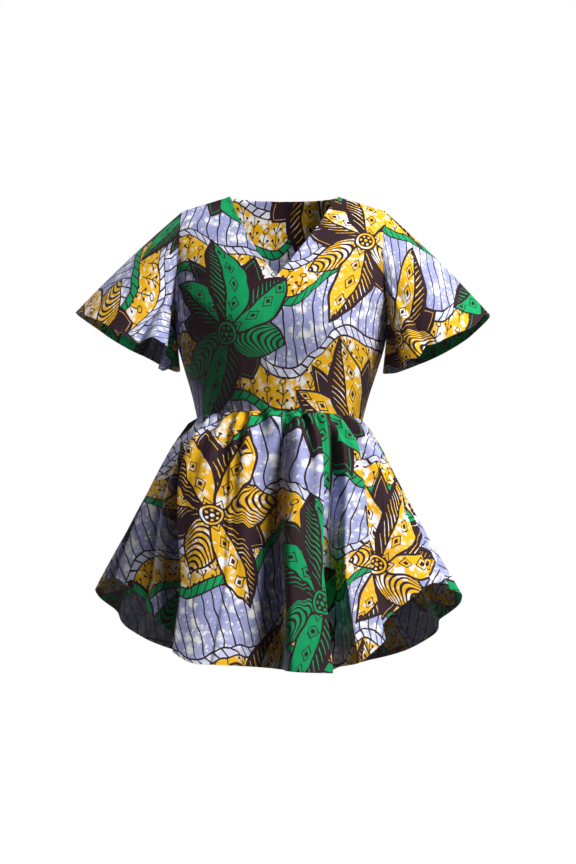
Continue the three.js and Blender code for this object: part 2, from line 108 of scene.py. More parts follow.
floor_mesh = bpy.data.meshes.new("floor")
floor_corners = [(-FLOOR_HALF, -FLOOR_HALF, 0), (FLOOR_HALF, -FLOOR_HALF, 0),
                 (FLOOR_HALF, FLOOR_HALF, 0), (-FLOOR_HALF, FLOOR_HALF, 0)]
floor_mesh.from_pydata(floor_corners, [], [(0, 1, 2, 3)])
floor = bpy.data.objects.new("floor", floor_mesh)
floor.location.z = FLOOR_LEVEL
bpy.context.collection.objects.link(floor)
floor_paint = bpy.data.materials.new("floor_paint")
floor_paint.use_nodes = True
paint = floor_paint.node_tree.nodes["Principled BSDF"]
paint.inputs["Base Color"].default_value = (FLOOR_WHITE, FLOOR_WHITE, FLOOR_WHITE, 1.0)
paint.inputs["Roughness"].default_value = 0.9
paint.inputs["Specular IOR Level"].default_value = 0.1
paint.inputs["Emission Color"].default_value = (1.0, 1.0, 1.0, 1.0)
paint.inputs["Emission Strength"].default_value = 1.0
floor_mesh.materials.append(floor_paint)
floor.visible_diffuse = False

# ==== The printed cotton ====
# A wax-resist print, the same on both faces of a plain-woven cotton: wavy bands of lavender and of
# gold, both mottled where the wax cracked, with corded borders and big flowers of split petals.
# Everything is laid out in millimetres of the flat cloth, which each piece carries as its UV.
MM_PER_METRE = 1000.0
MOTTLE = {"gain": 2.4, "loss": 0.3, "outside": 0.12, "inside": -0.3}
BAND_PITCH = 212.0
GOLD_HALF = 39.0
LINE = {"pitch": 19.0, "half": 1.3}
BORDER = {"half": 10.5, "slant": 0.7, "pitch": 16.5, "stroke_half": 1.6, "edge": 3.3}
SPRIG = {
    "apart": 25.0, "tall": 73.0, "scale": 1.35, "stem_half": 0.65, "stem_foot": -25.0, "stem_top": 15.0,
    "twig_feet": (-17.0, -3.0), "twig_slope": 1.3, "twig_half": 1.1, "twig_reach": 5.2,
    "bud_out": 5.6, "bud_up": 8.0, "bud_radius": 1.9,
    "ring_up": 18.4, "ring_radius": 3.6, "ring_half": 0.75,
}
FLOWER_CELL = (252.0, 400.0)
FLOWER_DROP = 14.0
FLOWER_TURNS = 0.5
FLOWER_BEND = {"least": 0.0002, "most": 0.0028}
OUTLINE = 4.8
LOZENGE = {
    "pitch": 38.0, "along": 0.8, "across": 0.85, "outer": 12.6, "inner": 10.0, "dot": 5.2, "rib": 3.0,
}
COMB = {"slant": 1.3, "pitch": 13.0, "from_rib": 2.5, "from_edge": 4.0, "taper": 0.06, "tip_half": 0.5}
STRIPES = {"bow": 0.045, "pitch": 12.0, "dark_share": 0.44}
HAIRLINE = {"inside": 3.4, "half": 0.55}
ROSETTE = {
    "radius": 22.0, "ring_from": 14.8, "ring_to": 18.4, "dot": 3.5,
    "studs": 6.0, "stud_circle": 9.6, "stud_radius": 2.5, "stud_apart": 10.0,
}
# The petals of a flower from the lowest up: degrees from its axis, length and half width in mm.
# Split petals are coloured on one side of the midrib and combed on the other, banded ones are
# striped across, and plain ones are dark all over.
PETALS = [
    dict(kind="plain", turn=25, length=168, half=24),
    dict(kind="plain", turn=-21, length=160, half=24),
    dict(kind="plain", turn=-78, length=112, half=28),
    dict(kind="plain", turn=140, length=112, half=28),
    dict(kind="banded", turn=-132, length=116, half=30),
    dict(kind="split", turn=176, length=180, half=36),
    dict(kind="banded", turn=98, length=112, half=37),
    dict(kind="split", turn=47, length=158, half=34),
    dict(kind="split", turn=-43, length=152, half=34),
    dict(kind="split", turn=3, length=196, half=38),
]
GREEN = (0.002, 0.33, 0.108)
GOLD = (0.82, 0.45, 0.008)
PALE = (0.90, 0.89, 0.90)
LAVENDER = (0.32, 0.34, 0.60)
FADED = (0.58, 0.60, 0.78)
DARK = (0.026, 0.010, 0.015)


class Wire:
    """A shader socket that adds, multiplies and compares as a number does."""

    def __init__(self, tree, socket):
        self.tree = tree
        self.socket = socket

    def make(self, kind, output, inputs, **settings):
        """One node of any kind, and the socket of one of its outputs."""
        node = self.tree.nodes.new(kind)
        for name, value in settings.items():
            setattr(node, name, value)
        for place, value in inputs.items():
            if isinstance(value, Wire):
                self.tree.links.new(value.socket, node.inputs[place])
            else:
                node.inputs[place].default_value = value
        return Wire(self.tree, node.outputs[output])

    def math(self, operation, *values):
        return self.make("ShaderNodeMath", 0, dict(enumerate(values)), operation=operation)

    def __add__(self, other):
        return self.math("ADD", self, other)

    def __radd__(self, other):
        return self.math("ADD", other, self)

    def __sub__(self, other):
        return self.math("SUBTRACT", self, other)

    def __rsub__(self, other):
        return self.math("SUBTRACT", other, self)

    def __mul__(self, other):
        return self.math("MULTIPLY", self, other)

    def __rmul__(self, other):
        return self.math("MULTIPLY", other, self)

    def __truediv__(self, other):
        return self.math("DIVIDE", self, other)

    def __rtruediv__(self, other):
        return self.math("DIVIDE", other, self)

    def __abs__(self):
        return self.math("ABSOLUTE", self)

    def __gt__(self, other):
        return self.math("GREATER_THAN", self, other)

    def __lt__(self, other):
        return self.math("LESS_THAN", self, other)

    def floor(self):
        return self.math("FLOOR", self)

    def fraction(self):
        return self.math("FRACT", self)

    def sine(self):
        return self.math("SINE", self)

    def length(self, other):
        return self.math("SQRT", self * self + other * other)

    def between(self, low, high):
        """0 up to low, 1 from high on, and a straight rise in between."""
        inputs = {"Value": self, "From Min": low, "From Max": high}
        return self.make("ShaderNodeMapRange", "Result", inputs)

    def choose(self, when_0, when_1):
        """A colour or a vector, mixed by this number."""
        node = self.tree.nodes.new("ShaderNodeMix")
        node.data_type = "RGBA"
        for socket, value in ((node.inputs[0], self), (node.inputs[6], when_0), (node.inputs[7], when_1)):
            if isinstance(value, Wire):
                self.tree.links.new(value.socket, socket)
            else:
                socket.default_value = (*value, 1.0)
        return Wire(self.tree, node.outputs[2])

    def pack(self, y, z):
        return self.make("ShaderNodeCombineXYZ", 0, {0: self, 1: y, 2: z})

    def unpack(self):
        node = self.tree.nodes.new("ShaderNodeSeparateXYZ")
        self.tree.links.new(self.socket, node.inputs[0])
        return [Wire(self.tree, out) for out in node.outputs]


def repeat(value, pitch):
    """Distance from the middle of the nearest repeat."""
    return ((value / pitch).fraction() - 0.5) * pitch


def ripple(run, length, height, start=0.0):
    """A sine wave along run, of a length and a height in mm."""
    return (run * (2 * math.pi / length) + start).sine() * height


def petal_coords(x, y, petal):
    """Share of the way along a pointed petal, place across it, and depth inside its edge."""
    turn = math.radians(petal["turn"])
    s, c = math.sin(turn), math.cos(turn)
    along = (x * s + y * c) / petal["length"]
    across = x * c - y * s
    edge = along * (1.0 - along) * (4.0 * petal["half"])
    return along, across, edge - abs(across)


cotton = bpy.data.materials.new("wax_print_cotton")
cotton.use_nodes = True
tree = cotton.node_tree
surface = tree.nodes["Principled BSDF"]
uv_node = tree.nodes.new("ShaderNodeUVMap")
uv_node.uv_map = "cloth"
metres = Wire(tree, uv_node.outputs[0])
flat = metres.make("ShaderNodeVectorMath", 0, {0: metres, 1: (MM_PER_METRE, MM_PER_METRE, MM_PER_METRE)},
                   operation="MULTIPLY")
# The hand of the block cutter: every line wanders by a few millimetres.
wander = flat.make("ShaderNodeTexNoise", "Color", {"Vector": flat, "Scale": 0.017, "Detail": 1.0},
                   noise_dimensions="2D")
drawn = wander.make("ShaderNodeVectorMath", 0, {0: wander, 1: (13.0, 13.0, 0.0), 2: flat},
                    operation="MULTIPLY_ADD")
x, y, _ = drawn.unpack()

# Mottling: round pale blots of many sizes, thicker in some places than in others.
patchy = flat.make("ShaderNodeTexNoise", "Fac", {"Vector": flat, "Scale": 0.021, "Detail": 2.0},
                   noise_dimensions="2D")


def mottle(vector, scale, reach, bare):
    """Round blots, each of its own size, up to reach cells across, in a share of the cells."""
    cells = {"Vector": vector, "Scale": scale}
    chance = vector.make("ShaderNodeTexVoronoi", "Color", cells, voronoi_dimensions="2D").unpack()[0]
    away = vector.make("ShaderNodeTexVoronoi", "Distance", cells, voronoi_dimensions="2D")
    size = (chance - bare) * (patchy * MOTTLE["gain"] - MOTTLE["loss"]) * reach
    return (away - size).between(MOTTLE["outside"], MOTTLE["inside"])


torn = flat.make("ShaderNodeTexNoise", "Color", {"Vector": flat, "Scale": 0.11, "Detail": 2.0},
                 noise_dimensions="2D")
torn = torn.make("ShaderNodeVectorMath", 0, {0: torn, 1: (9.0, 9.0, 0.0), 2: flat},
                 operation="MULTIPLY_ADD")
blots = mottle(torn, scale=0.052, reach=1.2, bare=0.42)
blots = blots.math("MAXIMUM", blots, mottle(torn, scale=0.13, reach=1.1, bare=0.46))
flecks = mottle(torn, scale=0.042, reach=1.2, bare=0.42)
flecks = flecks.math("MAXIMUM", flecks, mottle(torn, scale=0.1, reach=1.2, bare=0.42))

# Ground: wavy bands, the lavender ones with dark lines that waver down them.
band = repeat(y + (ripple(x, 371.0, 40.0) + ripple(x, 163.0, 14.0, start=1.1)), BAND_PITCH)
is_gold = abs(band) < GOLD_HALF
waver = ripple(y, 190.0, 5.0) + ripple(y, 67.0, 1.1, start=x * 0.02)
line = abs(repeat(x + waver, LINE["pitch"])) < LINE["half"]
faded = patchy.between(0.42, 0.72) * 0.45
lavender_ground = line.choose(blots.choose(faded.choose(LAVENDER, FADED), PALE), DARK)

# Sprigs on the gold, one above the other up wavering lines: a stem with two pairs of twigs and a
# ring on top.
sway = ripple(y, 187.0, 9.0, start=x * 0.011) + ripple(y, 71.0, 2.0)
file_no = ((x + sway) / SPRIG["apart"]).floor()
file_chance = file_no.make("ShaderNodeTexWhiteNoise", "Value", {"W": file_no}, noise_dimensions="1D")
sprig_x = abs(repeat(x + sway, SPRIG["apart"])) / SPRIG["scale"]
sprig_y = repeat(y + file_chance * SPRIG["tall"], SPRIG["tall"]) / SPRIG["scale"]
stem = (sprig_x < SPRIG["stem_half"]) * (sprig_y < SPRIG["stem_top"]) * (sprig_y > SPRIG["stem_foot"])
from_ring = sprig_x.length(sprig_y - SPRIG["ring_up"]) - SPRIG["ring_radius"]
sprig = stem + (abs(from_ring) < SPRIG["ring_half"])
for foot in SPRIG["twig_feet"]:
    from_twig = abs(sprig_y - sprig_x * SPRIG["twig_slope"] - foot)
    sprig = sprig + (from_twig < SPRIG["twig_half"]) * (sprig_x < SPRIG["twig_reach"])
    from_bud = (sprig_x - SPRIG["bud_out"]).length(sprig_y - foot - SPRIG["bud_up"])
    sprig = sprig + (from_bud < SPRIG["bud_radius"])
gold_ground = (sprig > 0.5).choose(flecks.choose(GOLD, PALE), DARK)
ground = is_gold.choose(lavender_ground, gold_ground)

# Corded border between two bands: a pale or a green strip with slanting dark strokes.
border_run = abs(band) - GOLD_HALF
from_border = abs(border_run)
border_ink = (band > 0.0).choose(GREEN, blots.choose(FADED, PALE))
slanted = repeat(x + border_run * BORDER["slant"], BORDER["pitch"])
stroke = (abs(slanted) < BORDER["stroke_half"]) + (from_border > BORDER["half"] - BORDER["edge"])
border_ink = (stroke > 0.5).choose(border_ink, DARK)
print_colour = (from_border < BORDER["half"]).choose(ground, border_ink)

# Flowers on a half-drop: every second column is shifted by half a repeat and green instead of gold,
# and each flower is turned and bent a little differently.
cell_w, cell_h = FLOWER_CELL
column_no = (x / cell_w).floor()
column_odd = (column_no * 0.5).fraction() * 2.0
shifted = y + column_odd * (cell_h / 2)
row_no = (shifted / cell_h).floor()
cell = column_no.pack(row_no, 0.0)
chance, chance_2, _ = cell.make("ShaderNodeTexWhiteNoise", "Color", {"Vector": cell},
                                noise_dimensions="2D").unpack()
offset = (x - (column_no + 0.5) * cell_w).pack(shifted - (row_no + 0.5) * cell_h, 0.0)
turn = (chance - 0.5) * FLOWER_TURNS + (chance_2 > 0.5) * math.pi
local = offset.make("ShaderNodeVectorRotate", 0, {"Vector": offset, "Angle": turn},
                    rotation_type="Z_AXIS")
flower_x, flower_y, _ = local.unpack()
bend = (chance - 0.5) * (FLOWER_BEND["most"] - FLOWER_BEND["least"])
bend = bend + (FLOWER_BEND["most"] + FLOWER_BEND["least"]) / 2
flower_x = flower_x + flower_y * flower_y * bend
flower_y = flower_y + FLOWER_DROP
is_green = column_odd > 0.5
ink = is_green.choose(blots.choose(GOLD, PALE), GREEN)

# The petal on top at each point: how far along it, across it and inside its edge, and its kind. It
# starts as no petal, far outside any edge.
owner = flower_x.pack(0.0, -50.0)
split = flower_x * 0.0
banded = flower_x * 0.0
for petal in PETALS:
    along, across, inside = petal_coords(flower_x, flower_y, petal)
    covers = inside > -OUTLINE
    owner = covers.choose(owner, (along * petal["length"]).pack(across, inside))
    elsewhere = 1.0 - covers
    split = split * elsewhere + covers * float(petal["kind"] == "split")
    banded = banded * elsewhere + covers * float(petal["kind"] == "banded")
along, across, inside = owner.unpack()
in_flower = inside > -OUTLINE
in_petal = inside > 0.0
print_colour = in_flower.choose(print_colour, DARK)
# A coloured part with a chain of lozenges, and a dark part with a comb of tapering strokes.
middle = across + inside * 0.3
half_coloured = split * in_petal * (middle > 0.0)
lozenge = abs(repeat(along, LOZENGE["pitch"])) * LOZENGE["along"]
lozenge = lozenge + abs(middle - inside * 0.7) * LOZENGE["across"]
heart = (middle < LOZENGE["rib"]) + (lozenge < LOZENGE["outer"]) * (lozenge > LOZENGE["inner"])
heart = heart + (lozenge < LOZENGE["dot"])
comb = abs(repeat(along + across * COMB["slant"], COMB["pitch"]))
combed = split * (middle < -COMB["from_rib"]) * (inside > COMB["from_edge"])
combed = combed * (comb < inside * COMB["taper"] + COMB["tip_half"])
# Bands that bow across the petal.
bow = along - across * across * STRIPES["bow"]
stripe = (bow / STRIPES["pitch"]).fraction() > STRIPES["dark_share"]
coloured = half_coloured * (heart < 0.5) + combed + banded * in_petal * stripe
print_colour = (coloured > 0.5).choose(print_colour, ink)
# A fine line inside the edge of the dark petals.
hairline = (abs(inside - HAIRLINE["inside"]) < HAIRLINE["half"]) * in_flower
hairline = hairline * (1.0 - split) * (1.0 - banded)
print_colour = hairline.choose(print_colour, ink)
# The rosette in the middle: a ring, a circle of studs and a dot.
centre = flower_x.length(flower_y)
spoke = flower_x.math("ARCTAN2", flower_x, flower_y) * (ROSETTE["studs"] / (2 * math.pi))
beside = (spoke.fraction() - 0.5) * ROSETTE["stud_apart"]
stud = beside.length(centre - ROSETTE["stud_circle"]) < ROSETTE["stud_radius"]
ring = (centre > ROSETTE["ring_from"]) * (centre < ROSETTE["ring_to"])
print_colour = (centre < ROSETTE["radius"]).choose(print_colour, DARK)
print_colour = (ring + (centre < ROSETTE["dot"]) + stud > 0.5).choose(print_colour, ink)

# Ink sits a little unevenly in the cloth.
uneven = flat.make("ShaderNodeTexNoise", "Fac", {"Vector": flat, "Scale": 0.11, "Detail": 3.0},
                   noise_dimensions="2D")
shade = uneven * 0.2 + 0.9
tinted = shade.make("ShaderNodeVectorMath", 0, {0: print_colour, 1: shade.pack(shade, shade)},
                    operation="MULTIPLY")
tree.links.new(tinted.socket, surface.inputs["Base Color"])
roughness = uneven * 0.12 + 0.62
tree.links.new(roughness.socket, surface.inputs["Roughness"])
surface.inputs["Specular IOR Level"].default_value = 0.13
surface.inputs["Sheen Weight"].default_value = 0.05
surface.inputs["Sheen Roughness"].default_value = 0.4
# Plain weave, about 28 threads to the centimetre, the faint crush of worn cotton, and fine creases
# that run down from the gathers under the waist. Relief is in metres, levels in the blouse's own z.
THREAD = 0.36
RELIEF = {"weave": 0.00004, "crush": 0.0011, "crease": 0.0015, "gathered": 0.0045}
GATHERED = {"top": -0.42, "full_from": -0.445, "full_to": -0.5, "foot": -0.86}
CREASE_STRETCH = (1.0, 1.0, 0.09)
fx, fy, _ = flat.unpack()
weave = (fx * (math.pi / THREAD)).sine() * (fy * (math.pi / THREAD)).sine()
crush = flat.make("ShaderNodeTexNoise", "Fac", {"Vector": flat, "Scale": 0.045, "Detail": 3.0},
                  noise_dimensions="2D")
object_coords = Wire(tree, tree.nodes.new("ShaderNodeTexCoord").outputs["Object"])
_, _, level_z = object_coords.unpack()
hung = object_coords.make("ShaderNodeVectorMath", 0, {0: object_coords, 1: CREASE_STRETCH},
                          operation="MULTIPLY")
crease = hung.make("ShaderNodeTexNoise", "Fac", {"Vector": hung, "Scale": 62.0, "Detail": 2.5},
                   noise_dimensions="3D")
gathered = level_z.between(GATHERED["top"], GATHERED["full_from"])
gathered = gathered * level_z.between(GATHERED["foot"], GATHERED["full_to"])
relief = weave * RELIEF["weave"] + crush * RELIEF["crush"]
relief = relief + crease * (gathered * RELIEF["gathered"] + RELIEF["crease"])
bump = relief.make("ShaderNodeBump", 0, {"Strength": 0.7, "Distance": 1.0, "Height": relief})
tree.links.new(bump.socket, surface.inputs["Normal"])

# ==== Bodice front ====
# Two mirrored halves of one piece of cotton, bust-shaped, with the V neckline turned in. It is sewn
# to the back at the shoulders and sides and to the peplum at the waist.
# Sizes of the blouse are in mm, with z 0 at the neck points.
MM = 0.001
CLOTH = 0.9
TURNED_EDGE = 1.8
WELDS_PER_MM = 200
RIDGE = math.radians(62)
NECK_HALF = 103.5
NECK_BOW = 9.0
V_DEPTH = 180.0
V_ROW = 6
UNDERARM_ROW = 4
PUCKER = {"height": 0.8, "fade": 9.0}
BUST = {"across": 84.0, "below": 262.0, "radius": 72.0, "fullness": 12.0}
# Rows of the front from the waist up: the end of each at the side seam or armhole, its inner end at
# the centre or the neck, and how round it runs between them.
FRONT_ROWS = [
    dict(edge_x=157, edge_y=8, edge_z=-432, inner_y=-118, inner_z=-428, round=1.0),
    dict(edge_x=168, edge_y=8, edge_z=-387, inner_y=-126, inner_z=-384, round=1.0),
    dict(edge_x=183, edge_y=6, edge_z=-339, inner_y=-133, inner_z=-337, round=1.0),
    dict(edge_x=197, edge_y=4, edge_z=-291, inner_y=-138, inner_z=-291, round=1.0),
    dict(edge_x=204, edge_y=2, edge_z=-244, inner_y=-138, inner_z=-250, round=1.0),
    dict(edge_x=202, edge_y=-36, edge_z=-214, inner_y=-133, inner_z=-214, round=0.85),
    dict(edge_x=197, edge_y=-55, edge_z=-177, inner_y=-124, inner_z=-180, round=0.7),
    dict(edge_x=194, edge_y=-57, edge_z=-137, inner_y=-104, inner_z=-135, round=0.6),
    dict(edge_x=193, edge_y=-46, edge_z=-97, inner_y=-77, inner_z=-90, round=0.5),
    dict(edge_x=195, edge_y=-25, edge_z=-58, inner_y=-42, inner_z=-45, round=0.35),
    dict(edge_x=196, edge_y=4, edge_z=-29, inner_y=4, inner_z=0, round=0.0),
]
TOP_ROW = len(FRONT_ROWS) - 1


def lerp(a, b, f):
    return a + (b - a) * f


def smoothstep(value, low, high):
    f = np.clip((value - low) / (high - low), 0.0, 1.0)
    return f * f * (3.0 - 2.0 * f)


def column(rows, name, place):
    """A column of a table at places between its rows, along a spline. The edge's columns are two
    splines that meet at the underarm."""
    values = np.array([row[name] for row in rows], float)
    last = len(rows) - 1
    step = np.clip(np.floor(place).astype(int), 0, last - 1)
    is_edge = name.startswith("edge")
    low = np.where(is_edge & (step >= UNDERARM_ROW), UNDERARM_ROW, 0)
    high = np.where(is_edge & (step < UNDERARM_ROW), UNDERARM_ROW, last)
    f = place - step
    a, b, c, d = (values[np.clip(step + k, low, high)] for k in (-1, 0, 1, 2))
    return b + 0.5 * f * (c - a + f * (2 * a - 5 * b + 4 * c - d + f * (3 * (b - c) + d - a)))


def bodice_rows(rows, place, share, inner_x, inner_z=None):
    """Points of a bodice half at places up the table and shares of the way from edge to inner end."""
    row = {name: column(rows, name, place) for name in rows[0]}
    if inner_z is not None:
        row["inner_z"] = inner_z(row["inner_z"])
    angle = share * 0.5 * math.pi
    bow_x = inner_x + (row["edge_x"] - inner_x) * np.cos(angle)
    bow_y = lerp(row["edge_y"], row["inner_y"], np.sin(angle))
    px = lerp(lerp(row["edge_x"], inner_x, share), bow_x, row["round"])
    py = lerp(lerp(row["edge_y"], row["inner_y"], share), bow_y, row["round"])
    return np.stack([px, py, lerp(row["edge_z"], row["inner_z"], share)], -1), row


def front_half(place, share):
    """Points of the front's half at +X, from the side seam to the centre or the V."""
    rise = np.clip((place - V_ROW) / (TOP_ROW - V_ROW), 0.0, 1.0)
    inner_x = NECK_HALF * rise + NECK_BOW * np.sin(math.pi * rise)
    neck_z = -V_DEPTH * (1.0 - rise)
    points, _ = bodice_rows(FRONT_ROWS, place, share, inner_x,
                            lambda z: np.where(place >= V_ROW, neck_z, z))
    dz = (points[..., 2] + BUST["below"]) / BUST["radius"]
    dx = (points[..., 0] - BUST["across"]) / BUST["radius"]
    points[..., 1] -= BUST["fullness"] * np.exp(-(dx * dx + dz * dz))
    return points


def along_rows(points, inner_x):
    """Arc length from the centre line to each point of its row, whose last point is innermost."""
    steps = np.linalg.norm(np.diff(points, axis=1), axis=2)
    from_inner = np.cumsum(steps[:, ::-1], axis=1)[:, ::-1]
    return np.concatenate([from_inner, np.zeros((len(points), 1))], axis=1) + inner_x


def up_columns(points):
    """Arc length up each column from the first row."""
    steps = np.linalg.norm(np.diff(points, axis=0), axis=2)
    return np.concatenate([np.zeros((1, points.shape[1])), np.cumsum(steps, axis=0)])


def waist_pucker(points, above_seam, run):
    """Fine puckers that the waist seam leaves just above itself."""
    fade = np.exp(-(above_seam / PUCKER["fade"]) ** 2)
    return PUCKER["height"] * np.sin(points[..., 0] / run) * fade


def creases(points, table):
    """How far the cloth stands out along soft lines: each a line from one x, z to another."""
    out = np.zeros(points.shape[:-1])
    for line in table:
        a = np.array(line["start"], float)
        b = np.array(line["end"], float)
        span = b - a
        rel = points[..., [0, 2]] - a
        f = np.clip(rel @ span / (span @ span), 0.0, 1.0)
        away = np.linalg.norm(rel - f[..., None] * span, axis=-1)
        fade = np.sin(math.pi * np.clip(0.12 + 0.76 * f, 0, 1)) ** 1.2
        out += line["height"] * fade * np.exp(-((away / line["width"]) ** 2))
    return out


def cloth_piece(name, patches, thickness):
    """A thin closed shell of cotton. patches are (points, uv) grids in mm whose quads face out, and
    the points that they share are welded. thickness holds the wall at each point of each grid."""
    points = np.concatenate([p.reshape(-1, 3) for p, _ in patches])
    uvs = np.concatenate([uv.reshape(-1, 2) for _, uv in patches])
    walls = np.concatenate([t.reshape(-1) for t in thickness])
    quads = []
    start = 0
    for p, _ in patches:
        rows, columns = p.shape[:2]
        corner = start + np.arange(rows - 1)[:, None] * columns + np.arange(columns - 1)
        around = [corner, corner + columns, corner + columns + 1, corner + 1]
        quads.append(np.stack(around, -1).reshape(-1, 4))
        start += rows * columns
    quads = np.concatenate(quads)
    grid_places = np.round(points * WELDS_PER_MM).astype(np.int64)
    _, first, welded = np.unique(grid_places, axis=0, return_index=True, return_inverse=True)
    welded = welded.reshape(-1)
    outer = points[first]
    wall = walls[first]
    faces = welded[quads]
    normals = np.zeros_like(outer)
    a, b, c, d = (outer[faces[:, k]] for k in range(4))
    face_vectors = np.cross(c - a, d - b)
    for k in range(4):
        np.add.at(normals, faces[:, k], face_vectors)
    normals /= np.maximum(np.linalg.norm(normals, axis=1, keepdims=True), 1e-9)
    inner = outer - normals * wall[:, None]
    # The rim closes the wall along every edge that has a face on one side only.
    count = len(outer)
    edges = np.concatenate([np.stack([faces[:, k], faces[:, (k + 1) % 4]], 1) for k in range(4)])
    corners = np.concatenate([np.stack([quads[:, k], quads[:, (k + 1) % 4]], 1) for k in range(4)])
    keys = edges[:, 0] * count + edges[:, 1]
    is_open = ~np.isin(edges[:, 1] * count + edges[:, 0], keys)
    rim = edges[is_open]
    rim_corners = corners[is_open]
    rim_faces = np.stack([rim[:, 1], rim[:, 0], rim[:, 0] + count, rim[:, 1] + count], 1)
    rim_uvs = rim_corners[:, [1, 0, 0, 1]]
    all_faces = np.concatenate([faces, faces[:, ::-1] + count, rim_faces])
    loop_uvs = uvs[np.concatenate([quads, quads[:, ::-1], rim_uvs]).reshape(-1)]

    mesh = bpy.data.meshes.new(name)
    mesh.from_pydata((np.concatenate([outer, inner]) * MM).tolist(), [], all_faces.tolist())
    layer = mesh.uv_layers.new(name="cloth")
    layer.data.foreach_set("uv", (loop_uvs * MM).reshape(-1))
    mesh.polygons.foreach_set("use_smooth", np.ones(len(all_faces), bool))
    mesh.set_sharp_from_angle(angle=RIDGE)
    mesh.materials.append(cotton)
    piece = bpy.data.objects.new(name, mesh)
    bpy.context.collection.objects.link(piece)
    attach(piece, "root")
    return piece


def edge_wall(distance):
    """The wall at a distance from a turned edge: doubled over the last 6 mm."""
    return lerp(TURNED_EDGE, CLOTH, smoothstep(distance, 6.0, 8.0))


# Drag lines of the front, in mm: from the armhole to the bust, under the bust and at the waist.
FRONT_CREASES = [
    dict(start=(-188, -190), end=(-112, -246), height=2.2, width=9),
    dict(start=(-192, -158), end=(-132, -186), height=-1.6, width=8),
    dict(start=(188, -196), end=(104, -252), height=2.4, width=9),
    dict(start=(192, -150), end=(140, -170), height=-1.5, width=8),
    dict(start=(-150, -330), end=(-92, -396), height=-1.8, width=10),
    dict(start=(150, -322), end=(86, -402), height=-2.0, width=10),
    dict(start=(-66, -318), end=(-58, -416), height=1.6, width=11),
    dict(start=(70, -322), end=(64, -414), height=1.4, width=12),
    dict(start=(-20, -352), end=(-14, -420), height=-1.2, width=9),
    dict(start=(30, -360), end=(24, -420), height=1.1, width=8),
    dict(start=(-120, -24), end=(-168, -88), height=1.2, width=9),
    dict(start=(126, -24), end=(166, -96), height=1.3, width=9),
]
FRONT_PRINT = (460.0, 233.0)  # where the front was laid on the printed cloth
FRONT_PUCKER_RUN = 3.4
FRONT_GRID = {"rows": 150, "columns": 84}

place = np.linspace(0, TOP_ROW, FRONT_GRID["rows"] + 1)
place = np.unique(np.concatenate([place, [UNDERARM_ROW, V_ROW]]))[:, None]
share = np.linspace(0, 1, FRONT_GRID["columns"] + 1)[None, :]
half = front_half(place, share)
rise = np.clip((place - V_ROW) / (TOP_ROW - V_ROW), 0.0, 1.0)
neck_x = NECK_HALF * rise + NECK_BOW * np.sin(math.pi * rise)
u = along_rows(half, neck_x)
v = up_columns(half)
to_neck = np.where(place >= V_ROW, u - neck_x, 99.0)
patches = []
for sign in (1, -1):
    points = half * (sign, 1, 1)
    pucker = waist_pucker(points, v, FRONT_PUCKER_RUN)
    points[..., 1] -= creases(points, FRONT_CREASES) * smoothstep(v, 0, 10) + pucker
    uv = np.stack([u * sign + FRONT_PRINT[0], v + FRONT_PRINT[1]], -1)
    order = slice(None, None, -1) if sign < 0 else slice(None)
    patches.append((points[::-1, order], uv[::-1, order]))
walls = [edge_wall(to_neck)[::-1], edge_wall(to_neck)[::-1, ::-1]]
bodice_front = cloth_piece("bodice_front_cloth", patches, walls)
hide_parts("bodice_front")

# ==== Bodice back ====
# One piece of the same cotton, plain, with a shallow neckline; its top edge is two shoulder seams
# and the neckline between them.
BACK_NECK_DEPTH = 75.0
BACK_NECK_RISE = 7.0
SHOULDER_SHARE = 0.48
# Rows of the back from the waist up, as those of the front, and how far each follows the top edge.
BACK_ROWS = [
    dict(edge_x=157, edge_y=8, edge_z=-432, inner_y=102, inner_z=-430, round=1.0, yoke=0.0),
    dict(edge_x=168, edge_y=8, edge_z=-387, inner_y=104, inner_z=-386, round=1.0, yoke=0.0),
    dict(edge_x=183, edge_y=6, edge_z=-339, inner_y=109, inner_z=-338, round=1.0, yoke=0.0),
    dict(edge_x=197, edge_y=4, edge_z=-291, inner_y=115, inner_z=-290, round=1.0, yoke=0.0),
    dict(edge_x=204, edge_y=2, edge_z=-244, inner_y=119, inner_z=-242, round=1.0, yoke=0.0),
    dict(edge_x=201, edge_y=38, edge_z=-214, inner_y=120, inner_z=-203, round=0.85, yoke=0.0),
    dict(edge_x=195, edge_y=58, edge_z=-177, inner_y=119, inner_z=-162, round=0.7, yoke=0.02),
    dict(edge_x=191, edge_y=61, edge_z=-137, inner_y=115, inner_z=-120, round=0.6, yoke=0.08),
    dict(edge_x=191, edge_y=50, edge_z=-97, inner_y=107, inner_z=-77, round=0.5, yoke=0.25),
    dict(edge_x=194, edge_y=29, edge_z=-58, inner_y=93, inner_z=-35, round=0.4, yoke=0.6),
    dict(edge_x=196, edge_y=4, edge_z=-29, inner_y=75, inner_z=7, round=0.0, yoke=1.0),
]
# Soft folds of the back, in mm: across the shoulder blades, into the armholes and above the waist.
BACK_CREASES = [
    dict(start=(-188, -196), end=(-96, -236), height=2.0, width=11),
    dict(start=(190, -186), end=(92, -232), height=2.2, width=10),
    dict(start=(-120, -96), end=(-60, -150), height=-1.3, width=12),
    dict(start=(118, -90), end=(66, -160), height=-1.2, width=13),
    dict(start=(-96, -306), end=(-84, -418), height=1.8, width=12),
    dict(start=(-40, -340), end=(-34, -420), height=-1.4, width=10),
    dict(start=(24, -318), end=(20, -420), height=1.5, width=11),
    dict(start=(104, -310), end=(88, -420), height=1.9, width=12),
    dict(start=(-132, -372), end=(120, -388), height=-1.1, width=9),
]
BACK_PRINT = (-340.0, 96.0)
BACK_PUCKER_RUN = 3.7
BACK_GRID = {"rows": 150, "columns": 84}


